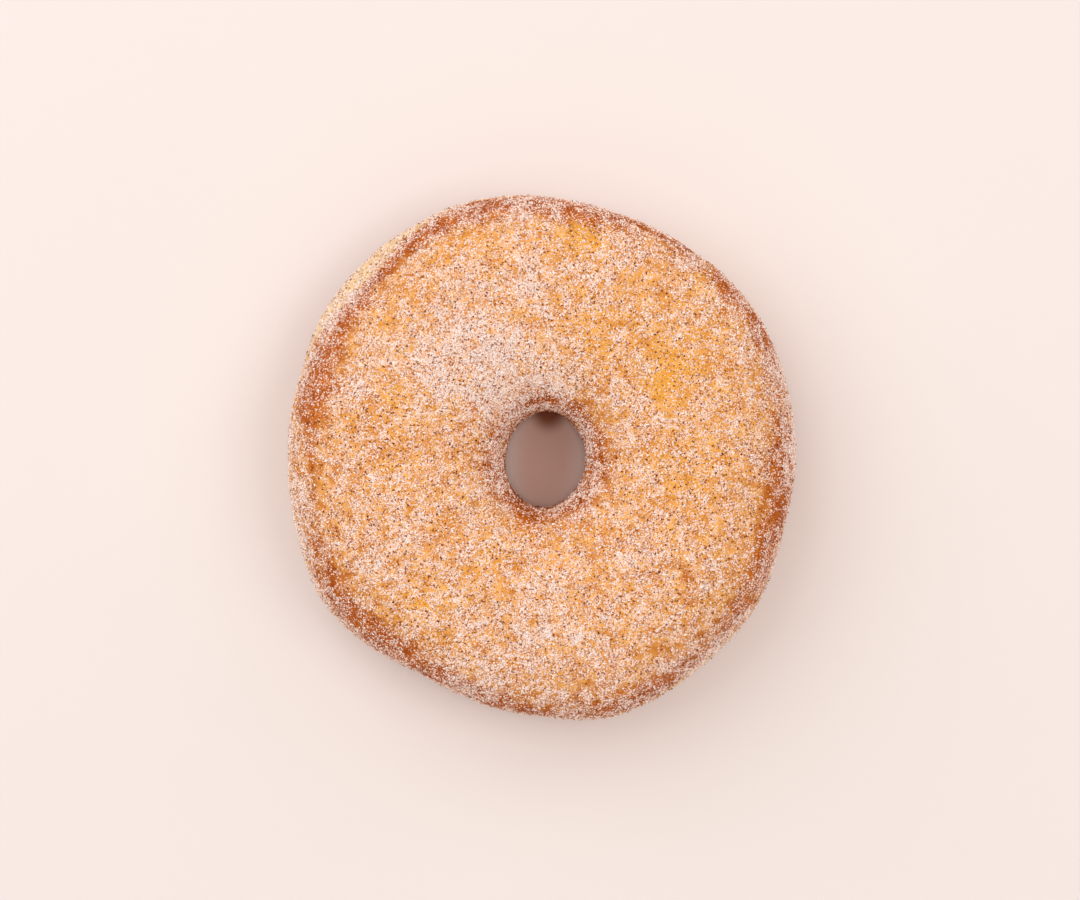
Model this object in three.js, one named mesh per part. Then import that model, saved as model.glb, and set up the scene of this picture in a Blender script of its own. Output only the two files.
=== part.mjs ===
// A ring doughnut: one piece of yeast dough, proved and fried, with an oval hole through it.
// Units are millimetres. +Z is up, the doughnut rests on z = 0, and the origin is under its middle.

import * as THREE from 'three';
import { mergeVertices } from 'three/addons/utils/BufferGeometryUtils.js';

// Driving dimensions.
const HEIGHT = 28; // from the flat of the underside to the top of the crown
const WAIST_HEIGHT = 13; // the ring is widest here, and the hole is narrowest
const RIM_RADIUS = 45.8; // the outside, before its swells
const BASE_TRIM = 0.9; // how much of the round underside is pressed flat by its own weight

// The hole is an oval, a little off the middle, and its long axis leans a few degrees off +Y.
const HOLE_HALF_WIDTH = 7;
const HOLE_HALF_LENGTH = 8.6;
const HOLE_LEAN = THREE.MathUtils.degToRad(-6);
const HOLE_MIDDLE = new THREE.Vector2(0.5, -0.2);

// How square a cross-section of the dough is: 2 is an ellipse, and more is flatter on top with fuller shoulders.
const OUTER_FULLNESS = 2.7;
const HOLE_FULLNESS = 2.5;

// Where the dough proved plumper or flatter. A bearing is in degrees anticlockwise from +X, seen from above,
// rise is in millimetres, and spread is the bearing over which the rise fades.
const RIM_SWELLS = [
  { bearing: 35, rise: 0.8, spread: 20 },
  { bearing: 115, rise: 2.4, spread: 34 },
  { bearing: 146, rise: 0.6, spread: 9 },
  { bearing: 213, rise: 1.4, spread: 14 },
  { bearing: 243, rise: -0.9, spread: 13 },
  { bearing: 288, rise: 2.6, spread: 18 },
  { bearing: 318, rise: 1.2, spread: 16 },
  { bearing: 345, rise: -0.4, spread: 10 },
];

// Where the crown stands higher or lower than the rest of the top.
const CROWN_SWELLS = [
  { bearing: 55, rise: 0.6, spread: 45 },
  { bearing: 160, rise: -0.5, spread: 35 },
  { bearing: 250, rise: 0.4, spread: 40 },
];

// Where the upper half is set back from the lower one, so that the waist shows from above as a narrow shelf.
const WAIST_SHELVES = [
  { bearing: 133, rise: 3.2, spread: 28 },
  { bearing: 205, rise: 1.4, spread: 20 },
  { bearing: 10, rise: 1.3, spread: 18 },
  { bearing: 312, rise: 1.6, spread: 22 },
];

// The mesh: steps around the ring, and steps around its cross-section.
const STEPS_AROUND_RING = 84;
const STEPS_AROUND_DOUGH = 36;

// The sum of some swells at a bearing in radians.
function swell(swells, bearing) {
  const degrees = THREE.MathUtils.radToDeg(bearing);
  return swells.reduce((sum, { bearing: middle, rise, spread }) => {
    const away = THREE.MathUtils.euclideanModulo(degrees - middle + 180, 360) - 180;
    return sum + rise * Math.exp(-((away / spread) ** 2));
  }, 0);
}

// How far a superellipse of half-width 1 reaches in the direction of a turn.
function reach(turn, fullness) {
  return (Math.abs(Math.cos(turn)) ** fullness + Math.abs(Math.sin(turn)) ** fullness) ** (-1 / fullness);
}

// The point of the rim that faces a bearing.
function rimPoint(bearing) {
  const radius = RIM_RADIUS + swell(RIM_SWELLS, bearing);
  return new THREE.Vector2(Math.cos(bearing), Math.sin(bearing)).multiplyScalar(radius);
}

// The point of the hole's edge that faces the same bearing.
function holePoint(bearing) {
  const turned = bearing - HOLE_LEAN;
  const oval = new THREE.Vector2(HOLE_HALF_WIDTH * Math.cos(turned), HOLE_HALF_LENGTH * Math.sin(turned));
  return oval.rotateAround(new THREE.Vector2(), HOLE_LEAN).add(HOLE_MIDDLE);
}

// A point of the crust: bearing goes around the ring, and turn goes around the dough's cross-section,
// from the rim up over the crown, down through the hole and back under the base.
function crustPoint(bearing, turn) {
  const far = reach(turn, Math.cos(turn) > 0 ? OUTER_FULLNESS : HOLE_FULLNESS);
  const outward = far * Math.cos(turn);
  const upward = far * Math.sin(turn);

  const crownRise = HEIGHT - WAIST_HEIGHT + swell(CROWN_SWELLS, bearing);
  const baseDrop = WAIST_HEIGHT + BASE_TRIM;
  const height = Math.max(0, WAIST_HEIGHT + upward * (upward > 0 ? crownRise : baseDrop));

  const rim = rimPoint(bearing);
  const across = holePoint(bearing).lerp(rim, (1 + outward) / 2);
  const setBack = swell(WAIST_SHELVES, bearing) * THREE.MathUtils.smoothstep(upward, 0.05, 0.6);
  across.addScaledVector(rim.normalize(), -setBack * THREE.MathUtils.smoothstep(outward, 0.2, 0.8));
  return new THREE.Vector3(across.x, across.y, height);
}

// The dough is a torus whose points are moved to the crust. Its uv says where each point lies:
// u is the share of the way around the ring, and v is the share around the cross-section.
function doughGeometry() {
  const torus = new THREE.TorusGeometry(1, 0.5, STEPS_AROUND_DOUGH, STEPS_AROUND_RING);
  const { position, uv } = torus.attributes;
  for (let i = 0; i < position.count; i += 1) {
    const point = crustPoint(2 * Math.PI * uv.getX(i), 2 * Math.PI * uv.getY(i));
    position.setXYZ(i, point.x, point.y, point.z);
  }
  torus.deleteAttribute('normal');
  torus.deleteAttribute('uv');
  const dough = mergeVertices(torus, 1e-3);
  dough.computeBoundingBox();
  const middle = dough.boundingBox.getCenter(new THREE.Vector3());
  dough.translate(-middle.x, -middle.y, 0);
  dough.computeVertexNormals();
  return dough;
}

const crust = new THREE.MeshStandardMaterial({ color: 0xdd9a5c, roughness: 0.8, metalness: 0 });

const doughnut = new THREE.Mesh(doughGeometry(), crust);
doughnut.name = 'doughnut';

const model = new THREE.Group();
model.add(doughnut);

export default model;
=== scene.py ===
"""A ring doughnut in cinnamon sugar: the fried crust, its sugar crystals and its flakes of cinnamon."""

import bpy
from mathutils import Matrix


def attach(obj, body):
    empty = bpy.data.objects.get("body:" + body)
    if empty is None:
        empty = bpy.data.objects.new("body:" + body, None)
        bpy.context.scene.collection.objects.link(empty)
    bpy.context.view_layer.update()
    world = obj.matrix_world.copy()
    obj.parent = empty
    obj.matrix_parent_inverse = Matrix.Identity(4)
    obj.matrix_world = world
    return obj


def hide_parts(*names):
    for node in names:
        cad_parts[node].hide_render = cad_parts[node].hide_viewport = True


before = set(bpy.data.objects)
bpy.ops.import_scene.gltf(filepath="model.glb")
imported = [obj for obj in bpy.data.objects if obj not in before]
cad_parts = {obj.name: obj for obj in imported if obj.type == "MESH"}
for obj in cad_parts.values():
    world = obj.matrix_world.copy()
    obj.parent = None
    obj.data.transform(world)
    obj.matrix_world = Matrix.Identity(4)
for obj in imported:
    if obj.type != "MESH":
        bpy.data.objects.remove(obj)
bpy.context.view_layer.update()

import math

import bmesh
import bpy
import numpy as np
from mathutils import Vector, noise

MM = 0.001

# The dough's driving dimensions, in millimetres, as the solid has them.
WAIST_HEIGHT = 13
RIM_RADIUS = 45.8
BASE_TRIM = 0.9
HOLE_HALF_WIDTH = 7
HOLE_HALF_LENGTH = 8.6
HOLE_LEAN = math.radians(-6)
HOLE_MIDDLE = (0.5, -0.2)
CROWN_RISE = 15
OUTER_FULLNESS = 2.7
HOLE_FULLNESS = 2.5

# Swells of the dough: bearing in degrees anticlockwise from +X, rise in millimetres, spread in degrees.
RIM_SWELLS = (
    (35, 0.8, 20),
    (115, 2.4, 34),
    (146, 0.6, 9),
    (213, 1.4, 14),
    (243, -0.9, 13),
    (288, 2.6, 18),
    (318, 1.2, 16),
    (345, -0.4, 10),
)
CROWN_SWELLS = ((55, 0.6, 45), (160, -0.5, 35), (250, 0.4, 40))
WAIST_SHELVES = ((133, 3.2, 28), (205, 1.4, 20), (10, 1.3, 18), (312, 1.6, 22))

# Marks on the crust, seen from above: x and y in millimetres, how far they spread, and how strong they are.
SUGAR_HEAPS = (
    (-14, 19, 6.5, 1.0),
    (-7, 14, 6.0, 1.0),
    (0, 12, 4.5, 0.7),
    (-5, 16, 3.5, 0.5),
    (-16, 11.5, 5.0, 0.8),
    (-33, 12, 3.0, 0.85),
    (-30, 17, 3.0, 0.4),
    (-37.5, 22, 2.8, 0.5),
    (13.5, -34, 4.0, 0.4),
    (-13.5, -28.5, 4.0, 0.35),
    (-1, 25, 4.5, 0.3),
    (19, -21.5, 3.5, 0.25),
    (-11, 32, 4.0, 0.2),
    (0, 32, 5.0, 0.5),
    (13, 44, 3.0, 0.5),
    (0, -30, 5.0, 0.7),
    (-1, -36, 4.5, 0.5),
    (25, -36, 3.0, 0.4),
    (42.5, 2, 2.5, 0.4),
    (-30, -17, 3.5, 0.5),
    (-21, -29, 3.5, 0.35),
    (-20.5, -20, 3.5, 0.25),
)

# Browned stretches along the rim: bearing and half length in degrees, distance in from the rim and
# half width in millimetres, and strength.
BROWN_STRETCHES = (
    (0, 8, 4.0, 2.5, 0.45),
    (357, 7, 7.6, 3.0, 0.35),
    (30, 8, 1.6, 1.2, 0.8),
    (43, 4, 2.0, 1.6, 1.0),
    (57, 4, 1.0, 0.9, 0.5),
    (68, 6, 1.2, 0.9, 0.4),
    (82, 4, 1.8, 1.3, 0.9),
    (93, 5, 1.2, 0.9, 0.6),
    (103, 5, 2.0, 1.4, 1.0),
    (116, 6, 2.8, 1.3, 0.9),
    (125, 8, 3.3, 1.3, 1.0),
    (134, 7, 4.3, 1.4, 1.0),
    (143, 6, 4.9, 1.5, 1.0),
    (152, 6, 5.8, 2.0, 0.8),
    (161, 7, 4.8, 3.3, 1.0),
    (169, 5, 4.4, 2.8, 1.0),
    (181, 8, 5.2, 1.6, 0.7),
    (192, 6, 5.0, 1.3, 0.3),
    (206, 8, 3.5, 1.5, 0.5),
    (208, 9, 6.5, 2.5, 0.35),
    (222, 8, 3.4, 1.6, 1.0),
    (221, 8, 5.8, 2.2, 0.4),
    (231, 6, 4.8, 2.0, 0.3),
    (236, 5, 2.4, 1.0, 0.9),
    (243, 6, 1.8, 1.2, 0.7),
    (262, 8, 1.5, 1.2, 0.5),
    (298, 11, 2.8, 2.4, 0.6),
    (328, 9, 3.5, 3.0, 0.35),
    (340, 12, 4.5, 2.5, 0.45),
    (347, 7, 2.2, 1.7, 0.85),
)
# How browned the shoulder of the rim is, beyond the even tone: bearing, strength, spread in degrees.
SHOULDER_BROWNING = ((45, -0.3, 20), (95, 0.15, 30), (180, -0.55, 28), (235, 0.1, 25), (315, -0.15, 20))
BROWN_SPOTS = (
    (-4.3, -8.5, 1.3, 0.9),
    (-2, -10.5, 1.6, 0.9),
    (9.6, 3.4, 1.2, 0.6),
    (5.5, 8.8, 1.4, 0.8),
    (-1.5, 10.2, 1.6, 0.7),
    (5, -35.5, 1.8, 0.6),
    (25, -21, 2.2, 0.5),
    (7, 44, 2.2, 0.6),
    (4, 41, 2.0, 0.45),
    (9, 40, 2.8, 0.4),
    (10, -41, 3.5, 0.3),
    (6, -13.5, 3.0, 0.25),
    (34, -5, 3.5, 0.45),
    (35, 7, 4.0, 0.2),
    (30, -15, 4.0, 0.2),
    (-31, 27.5, 3.0, 0.25),
    (-38, 12.5, 2.8, 0.8),
    (-38.5, 7, 2.5, 0.3),
)
GOLD_PATCHES = (
    (8, 39, 3.5, 1.0),
    (4, 34, 5.0, 0.15),
    (22, 13, 4.5, 0.7),
    (27, -1, 8.0, 0.45),
    (25, 20, 7.0, 0.5),
    (30, 34, 2.5, 0.8),
    (-21, -26, 4.0, 0.7),
    (-23, 9, 5.0, 0.4),
    (10, 22, 6.0, 0.4),
    (-9.5, -18, 4.5, 0.5),
    (-25, -5, 4.0, 0.35),
    (-15, 37, 4.0, 0.4),
    (7, -35, 3.0, 0.3),
)

# How much each zone and mark of the crust adds to its browning, which near the hole is also painted shade,
# and to the sugar on it.
BROWNING = {
    "spots": 0.75,
    "halo": 0.15,
    "fold": 0.6,
    # Near the hole: browning, and painted shade on the slope down into the hole.
    "near_hole": 0.64,
    "around_hole": 0.15,
    "inner_wall": 0.45,
    "brown_underside": 0.5,
}
SUGARING = {
    "heaps": 0.32,
    "ledge": 0.28,
    "near_hole": 0.10,
    "shoulder": 0.05,
    "pale": -0.05,
    "bare_gold": -0.17,
    "bare_spots": -0.22,
    "fold": -0.25,
    "underside": -0.3,
    "inner_wall": -0.5,
}

# The table, in metres: it is flat out to this reach, and then sweeps up.
TABLE_REACH = 2.0
SWEEP_RADIUS = 0.7

# Painted shade on the table inside the hole, a darker warm floor and a dark painted shadow at the hole's
# top: x, y, half width, half length, and color.
HOLE_PAINTED_SHADE = (
    (0.8, -0.2, 9.5, 22, (0.77, 0.53, 0.45, 1)),
    (1.2, 8.9, 4.6, 5.2, (0.27, 0.085, 0.042, 1)),
)

# The meshes of the crust and the table.
STEPS_AROUND_RING = 480
STEPS_AROUND_DOUGH = 200
STEPS_AROUND_TABLE = 96

# The pale band around the waist, in millimetres: the height of its middle, how far from there a crease
# runs on each side, and how far above it sugar lies on the ledge of a shelf.
BAND_HEIGHT = 12.3
CREASE_OFFSET = 4.4
LEDGE_OFFSET = 3.3

# The relief of the crust, in millimetres. A set of lumps has a height, a size and an offset in the noise.
LUMPS = ((0.28, 14, 3.1), (0.10, 5, 8.7), (0.035, 1.6, 21.3))
CREASE_DEPTH = 0.22
FOLD_DEPTH = 0.2

# How far up from the table the crust is pressed smooth, in millimetres.
PRESSED_HEIGHT = 2.5

# How many times as long and wide as a browned stretch its halo is.
HALO_WIDENING = 2.1

# The dusting. Sizes are in millimetres. The crust is set in by the coat to make room for the sugar.
SUGAR_COAT = 0.35
CRYSTALS_PER_SQUARE_MM = 36
CRYSTAL_PIECES = 8
CRYSTAL_SIZE = (0.25, 0.19, 0.16)
# The dark crystals are cinnamon stain, and painted shade between the grains as well.
STAINED_AND_SHADE_SHARE = 0.17
# Painted sparkle: a share of crystals drawn whitest and larger, standing in for glints.
PAINTED_SPARKLE_SHARE = 0.07
PAINTED_SPARKLE_GROWTH = 1.25
CRYSTAL_TILT = 0.45
FLAKES_PER_SQUARE_MM = 1.35
FLAKE_SIZE = (0.28, 0.20, 0.08)
FLAKE_TILT = 0.5
SEED = 7

# No grain is dropped on crust closer to the table than this, and none comes closer than the least gap.
CLEAR_OF_TABLE = 0.35
LEAST_GAP = 0.02

# The film of the finest sugar and cinnamon on the bare crust: how many grains to the metre, and how much of
# the crust the sugar covers where it is most dusted, and the cinnamon everywhere.
FILM_GRAINS_PER_METRE = 5200.0
FILM_SUGAR_SHARE = 0.55
FILM_CINNAMON_SHARE = 0.11

# Colors. A pair is the light and the dark of a mottled one.
BROAD_GOLD = ((0.86, 0.42, 0.105, 1), (0.75, 0.275, 0.042, 1))
FINE_GOLD = ((0.88, 0.455, 0.145, 1), (0.46, 0.11, 0.011, 1))
PATCH_GOLD = (0.86, 0.385, 0.035, 1)
BROWN_CRUST = ((0.59, 0.145, 0.006, 1), (0.35, 0.058, 0.003, 1))
WAIST_CREAM = ((0.86, 0.65, 0.33, 1), (0.80, 0.46, 0.16, 1))
FILM_SUGAR = ((0.94, 0.75, 0.66, 1), (0.84, 0.54, 0.40, 1))
FILM_CINNAMON = (0.22, 0.042, 0.005, 1)
WHITE_CRYSTAL = (0.97, 0.845, 0.785, 1)
TINTED_CRYSTAL = (0.87, 0.60, 0.46, 1)
# The dark crystal color: cinnamon stain and painted shade between the grains.
STAINED_AND_SHADE_CRYSTAL = (0.36, 0.105, 0.028, 1)
CINNAMON_BARK = ((0.36, 0.070, 0.009, 1), (0.19, 0.030, 0.004, 1))
DARKEST_BARK = (0.09, 0.018, 0.003, 1)
TABLE_TOP = ((0.822, 0.726, 0.682, 1), (0.812, 0.717, 0.673, 1))

# The lights: name, place in metres, width in metres, power in watts, and color.
LIGHTS = (
    ("broad_light", (-0.56, 0.44, 0.7), 1.2, 5.4, (0.90, 0.96, 1.0)),
    ("overhead_light", (0, 0, 1.0), 0.15, 1.8, (1.0, 0.88, 0.80)),
    ("right_light", (0.45, 0, 0.9), 0.5, 1.75, (1.0, 1.0, 1.0)),
    ("far_light", (0.6, 0.55, 0.57), 0.5, 0.7, (1.0, 1.0, 1.0)),
)
ROOM_BRIGHTNESS = 0.56

# What the camera sees at the height of the waist, in millimetres.
SEEN_WIDTH = 194.4
SEEN_MIDDLE = (-0.4, 1.4)


def swell(swells, bearing):
    """The sum of some swells at bearings in radians."""
    degrees = np.degrees(bearing)
    total = np.zeros_like(degrees)
    for middle, rise, spread in swells:
        away = (degrees - middle + 180) % 360 - 180
        total += rise * np.exp(-((away / spread) ** 2))
    return total


def marks(patches, x, y):
    """How strongly some marks cover places on the crust, from 0 to 1."""
    bare = np.ones_like(x)
    for middle_x, middle_y, spread, strength in patches:
        away = ((x - middle_x) ** 2 + (y - middle_y) ** 2) / spread**2
        bare *= 1 - strength * np.exp(-away)
    return 1 - bare


def browned_stretches(bearing, inward, widening):
    """How strongly the rim is browned at bearings in radians and distances in from the rim in millimetres.

    The stretches are that many times as long and wide as they are listed.
    """
    degrees = np.degrees(bearing)
    bare = np.ones_like(degrees)
    for middle, half_length, middle_inward, half_width, strength in BROWN_STRETCHES:
        along = ((degrees - middle + 180) % 360 - 180) / half_length
        aside = (inward - middle_inward) / half_width
        bare *= 1 - strength * np.exp(-(along**2 + aside**2) / widening**2)
    return 1 - bare


def smooth_step(value, low, high):
    share = np.clip((value - low) / (high - low), 0, 1)
    return share * share * (3 - 2 * share)


def crust_points(bearing, turn):
    """Where the crust lies, in millimetres, for bearings around the ring and turns around the dough."""
    across, up = np.cos(turn), np.sin(turn)
    fullness = np.where(across > 0, OUTER_FULLNESS, HOLE_FULLNESS)
    far = (np.abs(across) ** fullness + np.abs(up) ** fullness) ** (-1 / fullness)
    outward, upward = far * across, far * up

    crown_rise = CROWN_RISE + swell(CROWN_SWELLS, bearing)
    height = WAIST_HEIGHT + upward * np.where(upward > 0, crown_rise, WAIST_HEIGHT + BASE_TRIM)

    facing = np.stack([np.cos(bearing), np.sin(bearing)])
    rim = facing * (RIM_RADIUS + swell(RIM_SWELLS, bearing))
    turned = bearing - HOLE_LEAN
    oval = np.stack([HOLE_HALF_WIDTH * np.cos(turned), HOLE_HALF_LENGTH * np.sin(turned)])
    cosine, sine = math.cos(HOLE_LEAN), math.sin(HOLE_LEAN)
    hole = np.array([[cosine, -sine], [sine, cosine]]) @ oval + np.array(HOLE_MIDDLE)[:, None]
    flat = hole + (rim - hole) * (1 + outward) / 2
    upper_outside = smooth_step(upward, 0.05, 0.6) * smooth_step(outward, 0.2, 0.8)
    flat -= facing * swell(WAIST_SHELVES, bearing) * upper_outside
    return np.stack([flat[0], flat[1], np.maximum(height, 0)], axis=1)


def vertex_places(mesh):
    places = np.empty(len(mesh.vertices) * 3, np.float32)
    mesh.vertices.foreach_get("co", places)
    return places.reshape(-1, 3).astype(float)


def vertex_normals(mesh):
    normals = np.empty(len(mesh.vertices) * 3, np.float32)
    mesh.vertex_normals.foreach_get("vector", normals)
    return normals.reshape(-1, 3).astype(float)


def set_places(mesh, places):
    mesh.vertices.foreach_set("co", np.ascontiguousarray(places, np.float32).ravel())
    mesh.update()


def bumps(places, size, octaves, offset):
    """Smooth noise from about -1 to 1, with bumps of a size in millimetres."""
    shift = Vector((offset, offset * 0.7, -offset * 0.4))
    return np.array([noise.fractal(Vector(place) / size + shift, 1.0, 2.0, octaves) for place in places])


def add_attribute(mesh, name, values):
    layer = mesh.attributes.new(name, "FLOAT", "POINT")
    layer.data.foreach_set("value", np.ascontiguousarray(values, np.float32))


def place_piece(mesh, name, material):
    """Puts a finished mesh in the scene as a piece that rides with the part."""
    piece = bpy.data.objects.new(name, mesh)
    bpy.context.scene.collection.objects.link(piece)
    mesh.materials.append(material)
    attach(piece, "root")
    return piece


def ring_grid():
    """The bearing around the ring and the turn around the dough of each vertex, and the faces between them.

    The faces come in the same order each run, so the grains always land in the same places.
    """
    steps = STEPS_AROUND_RING, STEPS_AROUND_DOUGH
    around_ring, around_dough = np.indices(steps).reshape(2, -1)
    vertex = np.arange(around_ring.size).reshape(steps)
    ahead = np.roll(vertex, -1, axis=0)
    corners = vertex, ahead, np.roll(ahead, -1, axis=1), np.roll(vertex, -1, axis=1)
    bearing = around_ring * 2 * math.pi / STEPS_AROUND_RING
    turn = around_dough * 2 * math.pi / STEPS_AROUND_DOUGH
    return bearing, turn, np.stack(corners, axis=2).reshape(-1, 4)


def bell(value, middle, half_width):
    """A bell curve, 1 in its middle."""
    return np.exp(-(((value - middle) / half_width) ** 2))


def crust_relief(places, bearing, turn):
    """The pale band around the waist, the fold at the hole, and the relief of the crust.

    The relief, of lumps, creases and the fold, is how far the crust moves outward in millimetres.
    """
    ragged = 1.2 * bumps(places, 8, 4, 40.0)
    outer = smooth_step(np.cos(turn), 0.0, 0.4)
    from_band = np.abs(places[:, 2] - band_middle(bearing) + ragged)
    pale = outer * (1 - smooth_step(from_band, 1.2, 4.8))
    crease = bell(from_band, CREASE_OFFSET, 0.6) * outer

    hole_widths = (places[:, :2] - HOLE_MIDDLE) / (HOLE_HALF_WIDTH, HOLE_HALF_LENGTH)
    from_hole = np.hypot(hole_widths[:, 0], hole_widths[:, 1])
    fold = bell(from_hole + 0.04 * ragged, 1.22, 0.06) * swell(((90, 1, 38),), bearing)
    fold *= smooth_step(places[:, 2], WAIST_HEIGHT, WAIST_HEIGHT + 3)

    lumps = sum(height * bumps(places, size, 2, offset) for height, size, offset in LUMPS)
    coat = SUGAR_COAT * np.where(np.cos(turn) > 0, 1, 0.4)
    free = smooth_step(places[:, 2], 0.0, PRESSED_HEIGHT)
    return pale, fold, free * (lumps - CREASE_DEPTH * crease - FOLD_DEPTH * fold - coat)


def band_middle(bearing):
    """The height of the middle of the pale band, which is higher where the waist shows as a shelf."""
    return BAND_HEIGHT + 0.95 * swell(WAIST_SHELVES, bearing)


def crust_zones(places, bearing, turn):
    """How strongly each zone of the crust and each kind of mark shows at each place, mostly from 0 to 1."""
    x, y, z = places.T
    crown = smooth_step(z, WAIST_HEIGHT - 3, WAIST_HEIGHT)
    from_middle = np.hypot(x, y)
    near_hole = 1 - smooth_step(np.hypot(x - HOLE_MIDDLE[0], y - HOLE_MIDDLE[1]), 8.5, 14)
    inner_wall = smooth_step(-np.cos(turn), 0.2, 0.7) * (1 - smooth_step(z, 13, 19))
    shelf = np.clip(swell(WAIST_SHELVES, bearing) / 3, 0, 1) * smooth_step(np.cos(turn), 0.0, 0.4)
    inward = RIM_RADIUS + swell(RIM_SWELLS, bearing) - from_middle + 0.9 * bumps(places, 2.2, 3, 51.0)
    spots = np.maximum(browned_stretches(bearing, inward, 1), marks(BROWN_SPOTS, x, y)) * crown
    golden = marks(GOLD_PATCHES, x, y) * crown
    heaps = marks(SUGAR_HEAPS, x, y) * crown
    return {
        "spots": spots,
        "halo": browned_stretches(bearing, inward, HALO_WIDENING) * crown,
        "golden": golden,
        "heaps": heaps,
        "bare_spots": spots * (1 - heaps),
        "bare_gold": golden * (1 - heaps),
        "near_hole": near_hole * smooth_step(z, WAIST_HEIGHT, WAIST_HEIGHT + 8),
        "around_hole": (1 - smooth_step(from_middle, 11, 24)) * crown,
        "inner_wall": inner_wall,
        "underside": 1 - smooth_step(z, 3, 9),
        "ledge": bell(z - band_middle(bearing), LEDGE_OFFSET, 1.3) * shelf,
    }


def toasting(places, bearing, pale):
    """How toasted the shoulder of the rim is, and how far the shoulder reaches, both from 0 to about 1."""
    share_of_rim = np.hypot(places[:, 0], places[:, 1]) / (RIM_RADIUS + swell(RIM_SWELLS, bearing))
    shoulder = smooth_step(share_of_rim, 0.84, 0.97) * (1 - pale)
    outermost = smooth_step(share_of_rim, 0.955, 1.0)
    toasted = 0.66 + swell(SHOULDER_BROWNING, bearing) + 0.35 * bumps(places, 4, 3, 33.0)
    return toasted * shoulder * (1 - 0.4 * outermost), shoulder


def weighed(weights, zones):
    """The sum of the zones that have weights, each times its weight."""
    return sum(weight * zones[name] for name, weight in weights.items())


def make_crust(material):
    """The dough: a smooth ring, then given its lumps, creases and marks."""
    bearing, turn, faces = ring_grid()
    places = crust_points(bearing, turn)
    middle = (places.min(axis=0) + places.max(axis=0)) / 2
    places[:, :2] -= middle[:2]
    mesh = bpy.data.meshes.new("doughnut_crust")
    mesh.from_pydata(places.tolist(), [], faces.tolist())
    mesh.update()

    pale, fold, relief = crust_relief(places, bearing, turn)
    places += vertex_normals(mesh) * relief[:, None]
    places[:, 2] = np.maximum(places[:, 2], 0)
    set_places(mesh, places * MM)

    zones = crust_zones(places, bearing, turn)
    toasted, shoulder = toasting(places, bearing, pale)
    zones |= {"pale": pale, "fold": fold, "shoulder": shoulder}
    zones["brown_underside"] = zones["underside"] * (1 - pale)
    clumps = bumps(places, 1.7, 3, 75.0)
    drifts = bumps(places, 6, 2, 60.0)
    cover = 0.45 + 0.18 * drifts + 0.35 * clumps + weighed(SUGARING, zones)
    # This attribute holds the browning, and the painted shade near the hole as well.
    add_attribute(mesh, "browned_and_shaded", toasted + 0.3 * np.clip(-clumps, 0, 1) + weighed(BROWNING, zones))
    add_attribute(mesh, "golden", zones["golden"])
    add_attribute(mesh, "pale", pale)
    add_attribute(mesh, "dusted", 0.10 + 0.90 * smooth_step(cover, 0.0, 1.0))
    mesh.shade_smooth()

    crust = place_piece(mesh, "doughnut_crust", material)
    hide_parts("doughnut")
    return crust


def crystal_shape(cut):
    """A sugar crystal of size 1: a block with its top drawn in to a slanting ridge, as (corners, faces)."""
    mesh = bmesh.new()
    bmesh.ops.create_cube(mesh, size=1)
    for side in (-1, 1):
        pair = [vertex for vertex in mesh.verts if vertex.co.z > 0 and vertex.co.x * side > 0]
        ridge_end = Vector((0.34 * side, 0.2 * cut * side, 0.5))
        bmesh.ops.pointmerge(mesh, verts=pair, merge_co=ridge_end)
    bmesh.ops.triangulate(mesh, faces=mesh.faces)
    bmesh.ops.recalc_face_normals(mesh, faces=mesh.faces)
    mesh.verts.index_update()
    corners = np.array([vertex.co[:] for vertex in mesh.verts])
    faces = np.array([[vertex.index for vertex in face.verts] for face in mesh.faces])
    mesh.free()
    return corners, faces


def scatter(crust, per_square_mm, density, random):
    """Picks places on the crust, so many to the square millimetre where the density is 1.

    Gives the places, the normals there, and the corners and shares by which values are read there.
    """
    mesh = crust.data
    mesh.calc_loop_triangles()
    triangles = np.empty(len(mesh.loop_triangles) * 3, np.int32)
    mesh.loop_triangles.foreach_get("vertices", triangles)
    triangles = triangles.reshape(-1, 3)
    areas = np.empty(len(triangles), np.float32)
    mesh.loop_triangles.foreach_get("area", areas)
    chance = areas * density[triangles].mean(axis=1)
    count = round(per_square_mm * chance.sum() / MM**2)
    corners = triangles[random.choice(len(triangles), size=count, p=chance / chance.sum())]
    first, second = random.random(count), random.random(count)
    over = first + second > 1
    first[over], second[over] = 1 - first[over], 1 - second[over]
    shares = np.stack([1 - first - second, first, second], axis=1)
    places = (vertex_places(mesh)[corners] * shares[:, :, None]).sum(axis=1)
    normals = (vertex_normals(mesh)[corners] * shares[:, :, None]).sum(axis=1)
    return places, unit(normals), corners, shares


def unit(vectors):
    return vectors / np.linalg.norm(vectors, axis=1, keepdims=True)


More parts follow.
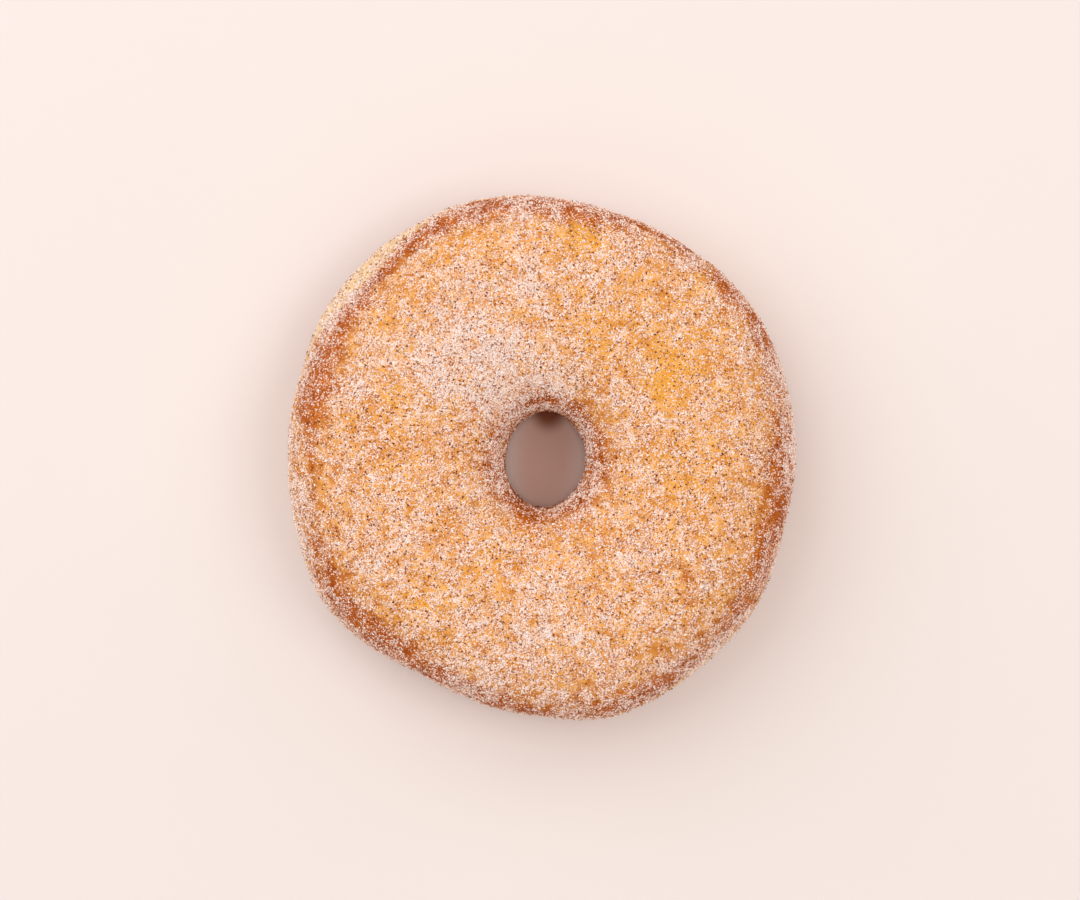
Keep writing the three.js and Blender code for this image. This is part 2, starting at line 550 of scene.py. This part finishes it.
def lay_copies(name, shape, places, normals, sizes, lift, tints, tilt, random):
    """One mesh of a small shape copied to many places, each copy turned and tilted at random."""
    corners, faces = shape
    count = len(places)
    up = unit(normals + tilt * random.normal(size=(count, 3)))
    along = unit(np.cross(up, random.normal(size=(count, 3))))
    aside = np.cross(up, along)
    scaled = corners[None] * sizes[:, None]
    spots = (
        (places + up * lift[:, None])[:, None]
        + scaled[:, :, 0:1] * along[:, None]
        + scaled[:, :, 1:2] * aside[:, None]
        + scaled[:, :, 2:3] * up[:, None]
    )
    spots[:, :, 2] += np.maximum(LEAST_GAP * MM - spots[:, :, 2].min(axis=1), 0)[:, None]
    order = (faces[None] + (np.arange(count) * len(corners))[:, None, None]).reshape(-1, faces.shape[1])

    mesh = bpy.data.meshes.new(name)
    mesh.vertices.add(count * len(corners))
    mesh.loops.add(order.size)
    mesh.polygons.add(len(order))
    mesh.vertices.foreach_set("co", spots.astype(np.float32).ravel())
    mesh.loops.foreach_set("vertex_index", order.astype(np.int32).ravel())
    mesh.polygons.foreach_set("loop_start", np.arange(0, order.size, faces.shape[1], dtype=np.int32))
    mesh.update(calc_edges=True)
    mesh.shade_flat()
    add_attribute(mesh, "tint", np.repeat(tints, len(corners)))
    own_cells(mesh, count, len(faces), faces.shape[1])
    return mesh


def own_cells(mesh, count, faces_each, corners_each):
    """Gives each copy a small square of the texture map to itself, which all its faces share."""
    across = math.ceil(math.sqrt(count))
    cell = np.arange(count)
    low = np.stack([cell % across, cell // across], axis=1)
    square = np.array([(0.1, 0.1), (0.9, 0.1), (0.9, 0.9), (0.1, 0.9)])[:corners_each]
    spots = (low[:, None, None] + square[None, None]) / across
    spots = np.broadcast_to(spots, (count, faces_each, corners_each, 2))
    layer = mesh.uv_layers.new(name="OFBake", do_init=False)
    layer.uv.foreach_set("vector", np.ascontiguousarray(spots, np.float32).ravel())


def vertex_values(mesh, name):
    values = np.empty(len(mesh.vertices), np.float32)
    mesh.attributes[name].data.foreach_get("value", values)
    return values.astype(float)


def open_crust(crust, share_on_sides):
    """How much of a dusting each vertex catches: all of it facing up, and none right at the table."""
    clear = vertex_places(crust.data)[:, 2] > CLEAR_OF_TABLE * MM
    facing_up = np.clip(vertex_normals(crust.data)[:, 2], 0, 1)
    return (share_on_sides + (1 - share_on_sides) * facing_up) * clear


def grain_sizes(mean_size, overall, each_way, count, random):
    """The sizes of some grains in metres, from a range for a whole grain and one for each way across it."""
    sizes = np.array(mean_size) * MM * random.uniform(*overall, (count, 1))
    return sizes * random.uniform(*each_way, (count, 3))


def dust_with_sugar(crust, material, random):
    """The crystals of sugar, in a few pieces of equal number, each a stretch of the ring."""
    dusted = vertex_values(crust.data, "dusted")
    browned_and_shaded = vertex_values(crust.data, "browned_and_shaded")
    density = dusted**1.5 * open_crust(crust, 0.55)
    places, normals, corners, shares = scatter(crust, CRYSTALS_PER_SQUARE_MM, density, random)
    count = len(places)
    depth = (dusted[corners] * shares).sum(axis=1)
    brown = np.clip((browned_and_shaded[corners] * shares).sum(axis=1), 0, 1)
    sizes = grain_sizes(CRYSTAL_SIZE, (0.6, 1.3), (0.8, 1.2), count, random)
    heap = np.clip(depth - 0.75, 0, 0.4)
    lift = sizes[:, 2] * random.uniform(0.0, 0.5, count) + heap * random.random(count) * 0.6 * MM
    tints = np.clip(random.uniform(0.3, 0.8, count) + 0.4 * (depth - 0.4) - 0.12 * brown, 0.2, 1)
    # Dark crystals: cinnamon-stained, and painted shade in the gaps between grains.
    stained_and_shade = random.random(count) < STAINED_AND_SHADE_SHARE + 0.08 * brown
    tints[stained_and_shade] = random.uniform(0, 0.25, stained_and_shade.sum())
    # Painted sparkle: these crystals are drawn whitest and larger to stand in for glints.
    painted_sparkle = ~stained_and_shade & (random.random(count) < PAINTED_SPARKLE_SHARE)
    tints[painted_sparkle] = 1
    sizes[painted_sparkle] *= PAINTED_SPARKLE_GROWTH

    order = np.argsort(np.arctan2(places[:, 1], places[:, 0]), kind="stable")
    for number, chosen in enumerate(np.array_split(order, CRYSTAL_PIECES), 1):
        name = f"sugar_crystals_{number}"
        shape = crystal_shape(1 if number % 2 else -1)
        grains = places[chosen], normals[chosen], sizes[chosen], lift[chosen], tints[chosen]
        place_piece(lay_copies(name, shape, *grains, CRYSTAL_TILT, random), name, material)


def dust_with_cinnamon(crust, material, random):
    """The flakes of cinnamon among the sugar."""
    density = (0.5 + 0.5 * vertex_values(crust.data, "dusted")) * open_crust(crust, 0.3)
    places, normals, _, _ = scatter(crust, FLAKES_PER_SQUARE_MM, density, random)
    count = len(places)
    tints = random.random(count)
    sizes = grain_sizes(FLAKE_SIZE, (0.5, 1.3), (0.7, 1.3), count, random)
    lift = random.uniform(0.03, 0.22, count) * MM
    name = "cinnamon_flakes"
    mesh = lay_copies(name, crystal_shape(1), places, normals, sizes, lift, tints, FLAKE_TILT, random)
    place_piece(mesh, name, material)


class Nodes:
    """Adds nodes to a node tree, from left to right."""

    def __init__(self, tree):
        self.tree = tree
        self.count = 0

    def add(self, kind, inputs=None, **settings):
        node = self.tree.nodes.new(kind)
        node.location = (220 * self.count, 0)
        self.count += 1
        for name, value in settings.items():
            setattr(node, name, value)
        for name, value in (inputs or {}).items():
            self.join(node.inputs[name], value)
        return node

    def join(self, socket, value):
        if isinstance(value, bpy.types.NodeSocket):
            self.tree.links.new(value, socket)
        else:
            socket.default_value = value

    def attribute(self, name):
        return self.add("ShaderNodeAttribute", attribute_name=name).outputs["Fac"]

    def math(self, operation, first, second=0.0, clamp=False):
        node = self.add("ShaderNodeMath", operation=operation, use_clamp=clamp)
        self.join(node.inputs[0], first)
        self.join(node.inputs[1], second)
        return node.outputs[0]

    def mix(self, share, first, second):
        node = self.add("ShaderNodeMix", data_type="RGBA")
        self.join(node.inputs[0], share)
        self.join(node.inputs[6], first)
        self.join(node.inputs[7], second)
        return node.outputs[2]

    def noise(self, where, size, detail=2.0, roughness=0.5):
        """Noise from 0 to 1 with bumps of a size in metres."""
        inputs = {"Vector": where, "Scale": 1 / size, "Detail": detail, "Roughness": roughness}
        return self.add("ShaderNodeTexNoise", inputs).outputs["Fac"]

    def stretch(self, value, low, high):
        """The share of the way from low to high, held between 0 and 1."""
        inputs = {"Value": value, "From Min": low, "From Max": high}
        return self.add("ShaderNodeMapRange", inputs, interpolation_type="SMOOTHSTEP").outputs["Result"]


def new_material(name):
    material = bpy.data.materials.new(name)
    material.use_nodes = True
    material.node_tree.nodes.clear()
    nodes = Nodes(material.node_tree)
    shader = nodes.add("ShaderNodeBsdfPrincipled")
    output = nodes.add("ShaderNodeOutputMaterial")
    nodes.join(output.inputs["Surface"], shader.outputs[0])
    return material, nodes, shader


def mottle_group():
    """Soft blotches between two colors, which the crust, the cinnamon and the table share."""
    group = bpy.data.node_groups.new("mottle", "ShaderNodeTree")
    kinds = {"Vector": "Vector", "Light": "Color", "Dark": "Color", "Scale": "Float", "Contrast": "Float"}
    for name, kind in kinds.items():
        group.interface.new_socket(name, in_out="INPUT", socket_type=f"NodeSocket{kind}")
    group.interface.new_socket("Color", in_out="OUTPUT", socket_type="NodeSocketColor")
    nodes = Nodes(group)
    given = nodes.add("NodeGroupInput").outputs
    inputs = {"Vector": given["Vector"], "Scale": given["Scale"], "Detail": 4.0, "Roughness": 0.6}
    blotch = nodes.add("ShaderNodeTexNoise", inputs).outputs["Fac"]
    centred = nodes.math("SUBTRACT", blotch, 0.5)
    spread = nodes.math("MULTIPLY", centred, given["Contrast"])
    share = nodes.math("ADD", spread, 0.5, clamp=True)
    color = nodes.mix(share, given["Light"], given["Dark"])
    nodes.add("NodeGroupOutput", {"Color": color})
    return group


def use_mottle(nodes, group, where, colors, scale, contrast):
    """A pair of colors mottled, with that many blotches to the metre."""
    light, dark = colors
    node = nodes.add("ShaderNodeGroup", node_tree=group)
    values = {"Vector": where, "Light": light, "Dark": dark, "Scale": scale, "Contrast": contrast}
    for name, value in values.items():
        nodes.join(node.inputs[name], value)
    return node.outputs["Color"]


def fried_color(nodes, mottle, where):
    """The bare crust: golden with orange blotches, browner in places, with painted shade near the hole, and
    pale around the waist.
    """
    broad = use_mottle(nodes, mottle, where, BROAD_GOLD, 180, 3.0)
    fine = use_mottle(nodes, mottle, where, FINE_GOLD, 460, 4.0)
    top = nodes.mix(0.5, broad, fine)
    golden = nodes.math("MULTIPLY", nodes.attribute("golden"), 0.75)
    top = nodes.mix(golden, top, PATCH_GOLD)
    brown = use_mottle(nodes, mottle, where, BROWN_CRUST, 320, 2.4)
    patchy = nodes.noise(where, 0.0035, 3.0, 0.6)
    ragged = nodes.math("MULTIPLY", nodes.math("SUBTRACT", patchy, 0.5), 1.1)
    lifted = nodes.math("ADD", nodes.attribute("browned_and_shaded"), ragged)
    color = nodes.mix(nodes.stretch(lifted, 0.12, 0.98), top, brown)
    cream = use_mottle(nodes, mottle, where, WAIST_CREAM, 260, 2.5)
    return nodes.mix(nodes.stretch(nodes.attribute("pale"), 0.15, 0.85), color, cream)


def fried_crust(mottle):
    """The fried crust, filmed with the finest sugar and specked with cinnamon."""
    material, nodes, shader = new_material("fried_crust")
    where = nodes.add("ShaderNodeTexCoord").outputs["Object"]
    color = fried_color(nodes, mottle, where)

    inputs = {"Vector": where, "Scale": FILM_GRAINS_PER_METRE}
    speck = nodes.add("ShaderNodeTexVoronoi", inputs, feature="F1")
    lots = nodes.add("ShaderNodeSeparateColor", {"Color": speck.outputs["Color"]})
    dusted = nodes.attribute("dusted")
    filmed = nodes.math("MULTIPLY", nodes.math("MULTIPLY", dusted, dusted), FILM_SUGAR_SHARE)
    sugared = nodes.math("LESS_THAN", lots.outputs[0], filmed)
    spiced = nodes.math("GREATER_THAN", lots.outputs[0], 1 - FILM_CINNAMON_SHARE)
    sugar = nodes.mix(lots.outputs[1], *FILM_SUGAR)
    color = nodes.mix(nodes.math("MULTIPLY", sugared, 0.85), color, sugar)
    color = nodes.mix(nodes.math("MULTIPLY", spiced, 0.6), color, FILM_CINNAMON)
    nodes.join(shader.inputs["Base Color"], color)

    shader.inputs["Specular IOR Level"].default_value = 0.08
    nodes.join(shader.inputs["Roughness"], nodes.math("ADD", nodes.math("MULTIPLY", sugared, 0.2), 0.55))
    wrinkles = nodes.noise(where, 0.0009, 4.0, 0.6)
    domes = nodes.math("SUBTRACT", 1.0, speck.outputs["Distance"])
    height = nodes.math("ADD", wrinkles, nodes.math("MULTIPLY", sugared, domes))
    bump = nodes.add("ShaderNodeBump", {"Height": height, "Strength": 0.5, "Distance": 0.00012})
    nodes.join(shader.inputs["Normal"], bump.outputs["Normal"])
    return material


def sugar_crystal():
    """Warm white crystals, each with its own tint, some of them dark: stained by cinnamon, and painted
    shade between the grains.
    """
    material, nodes, shader = new_material("sugar_crystal")
    tint = nodes.attribute("tint")
    clean = nodes.stretch(tint, 0.0, 0.3)
    color = nodes.mix(clean, STAINED_AND_SHADE_CRYSTAL, TINTED_CRYSTAL)
    color = nodes.mix(nodes.stretch(tint, 0.25, 0.9), color, WHITE_CRYSTAL)
    nodes.join(shader.inputs["Base Color"], color)
    shader.inputs["Roughness"].default_value = 0.3
    shader.inputs["IOR"].default_value = 1.54
    return material


def ground_cinnamon(mottle):
    """Flakes of ground cinnamon bark, mostly reddish brown, a few of them nearly black."""
    material, nodes, shader = new_material("ground_cinnamon")
    where = nodes.add("ShaderNodeTexCoord").outputs["Object"]
    reddish = use_mottle(nodes, mottle, where, CINNAMON_BARK, 2500, 3.0)
    color = nodes.mix(nodes.stretch(nodes.attribute("tint"), 0.82, 0.95), reddish, DARKEST_BARK)
    nodes.join(shader.inputs["Base Color"], color)
    shader.inputs["Roughness"].default_value = 0.9
    shader.inputs["Specular IOR Level"].default_value = 0.03
    return material


def pale_table(mottle):
    """A pale matt table, with painted shade inside the hole: the floor there darker and warmer, and a
    painted shadow at the hole's top.
    """
    material, nodes, shader = new_material("pale_table")
    where = nodes.add("ShaderNodeTexCoord").outputs["Object"]
    color = use_mottle(nodes, mottle, where, TABLE_TOP, 40, 1.0)
    # Painted shade: each one turns the table towards its color within its reach, inside the hole.
    for x, y, half_width, half_length, shade_color in HOLE_PAINTED_SHADE:
        middle = (x * MM, y * MM, 0)
        offset = nodes.add("ShaderNodeVectorMath", {0: where, 1: middle}, operation="SUBTRACT").outputs[0]
        spread = (half_width * MM, half_length * MM, MM)
        scaled = nodes.add("ShaderNodeVectorMath", {0: offset, 1: spread}, operation="DIVIDE").outputs[0]
        reach = nodes.add("ShaderNodeVectorMath", {0: scaled}, operation="LENGTH").outputs["Value"]
        color = nodes.mix(nodes.stretch(reach, 0.3, 1.0), shade_color, color)
    nodes.join(shader.inputs["Base Color"], color)
    shader.inputs["Roughness"].default_value = 0.9
    return material


def make_table(material):
    """A wide round table top, flat for two metres each way, and swept up at its edge as a backdrop."""
    mesh = bmesh.new()
    sweep = [(0.02, 0.0), (0.5, 0.0), (TABLE_REACH, 0.0)]
    for step in np.radians(range(6, 91, 6)):
        sweep.append((TABLE_REACH + SWEEP_RADIUS * math.sin(step), SWEEP_RADIUS * (1 - math.cos(step))))
    line = [mesh.verts.new((reach, 0, height)) for reach, height in sweep]
    for start, end in zip(line, line[1:]):
        mesh.edges.new((start, end))
    bmesh.ops.spin(
        mesh,
        geom=mesh.verts[:] + mesh.edges[:],
        cent=(0, 0, 0),
        axis=(0, 0, 1),
        angle=2 * math.pi,
        steps=STEPS_AROUND_TABLE,
        use_merge=True,
    )
    centre = [edge for edge in mesh.edges if edge.is_boundary and edge.verts[0].co.z == 0]
    bmesh.ops.holes_fill(mesh, edges=centre)
    bmesh.ops.recalc_face_normals(mesh, faces=mesh.faces)
    if mesh.faces[0].normal.z < 0:
        bmesh.ops.reverse_faces(mesh, faces=mesh.faces)
    data = bpy.data.meshes.new("table")
    mesh.to_mesh(data)
    mesh.free()
    data.shade_smooth()
    data.materials.append(material)
    table = bpy.data.objects.new("table", data)
    bpy.context.scene.collection.objects.link(table)


def soft_light(name, place, width, power, color):
    """A round light that points at the middle of the doughnut's underside."""
    data = bpy.data.lights.new(name, "AREA")
    data.shape = "DISK"
    data.size = width
    data.energy = power
    data.color = color
    light = bpy.data.objects.new(name, data)
    light.location = place
    toward_middle = Vector((0, 0, 0)) - Vector(place)
    light.rotation_euler = toward_middle.to_track_quat("-Z", "Y").to_euler()
    bpy.context.scene.collection.objects.link(light)


def light_studio():
    """A broad soft light at the far left, weaker ones overhead and at the right, and a bright room."""
    for light in LIGHTS:
        soft_light(*light)
    world = bpy.data.worlds.new("studio")
    world.use_nodes = True
    background = world.node_tree.nodes["Background"]
    background.inputs["Color"].default_value = (1.0, 1.0, 1.0, 1)
    background.inputs["Strength"].default_value = ROOM_BRIGHTNESS
    bpy.context.scene.world = world
    bpy.context.scene.view_settings.view_transform = "Standard"


def look_down():
    """A camera straight above, a little off the doughnut's middle."""
    data = bpy.data.cameras.new("camera")
    data.sensor_width = 36
    data.lens = 100
    camera = bpy.data.objects.new("camera", data)
    distance = SEEN_WIDTH * data.lens / data.sensor_width
    camera.location = Vector((*SEEN_MIDDLE, WAIST_HEIGHT + distance)) * MM
    bpy.context.scene.collection.objects.link(camera)
    bpy.context.scene.camera = camera


look_down()
light_studio()
mottle = mottle_group()
make_table(pale_table(mottle))
random = np.random.default_rng(SEED)
crust = make_crust(fried_crust(mottle))
dust_with_sugar(crust, sugar_crystal(), random)
dust_with_cinnamon(crust, ground_cinnamon(mottle), random)
